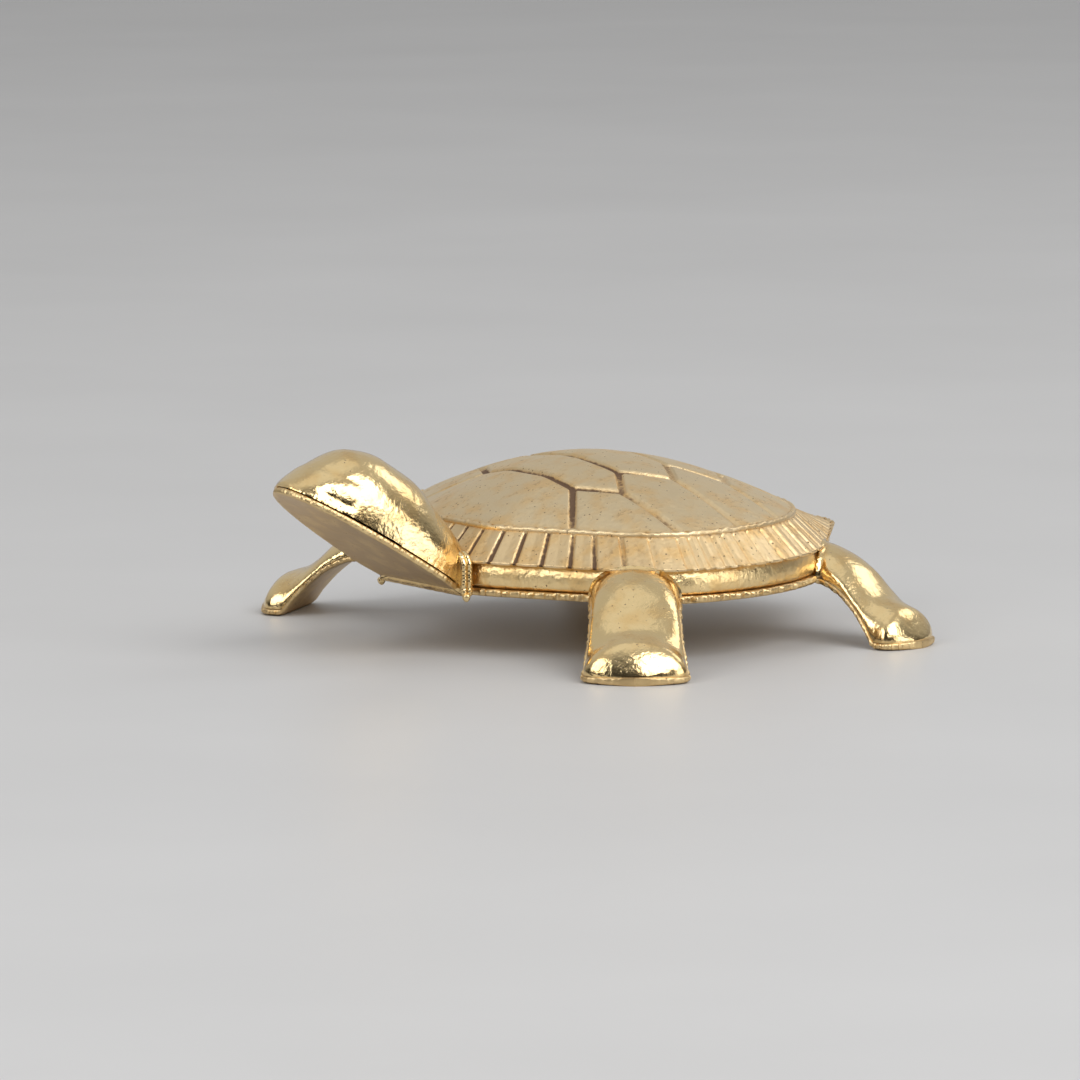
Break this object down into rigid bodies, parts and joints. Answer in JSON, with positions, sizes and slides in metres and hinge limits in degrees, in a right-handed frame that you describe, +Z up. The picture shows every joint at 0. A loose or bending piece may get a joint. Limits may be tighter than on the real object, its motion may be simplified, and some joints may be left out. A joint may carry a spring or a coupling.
{
  "type": "turtle figurine",
  "caption": "Hollow gilt sheet-metal turtle ornament: domed back with scute seams, ribbed skirt on a smooth band, bent splayed legs and a raised half-egg head on a flat chin plate.",
  "frame": {"origin": "centre of the bounding box at the floor that the four soles stand on", "axes": "+X towards the head, +Y towards the turtle's left, +Z up"},
  "size_m": [0.0884, 0.0902, 0.0273],
  "materials": {
    "satin_gilt": "satin gilt, fine pits, brown tarnish in the seams",
    "polished_gilt": "polished gilt with fine scratches",
    "brushed_gilt": "brushed gilt, rough at the cut edges",
    "solder": "gilded solder, lumpy"
  },
  "bodies": {
    "root": {"carapace_dome": "satin_gilt", "marginal_ring": "satin_gilt", "side_band": "polished_gilt", "belly_plate": "brushed_gilt", "front_left_leg": "polished_gilt", "front_right_leg": "polished_gilt", "rear_left_leg": "polished_gilt", "rear_right_leg": "polished_gilt", "neck_collar": "polished_gilt", "head_shell": "polished_gilt", "chin_plate": "brushed_gilt", "solder_tacks": "solder"}
  },
  "joints": []
}
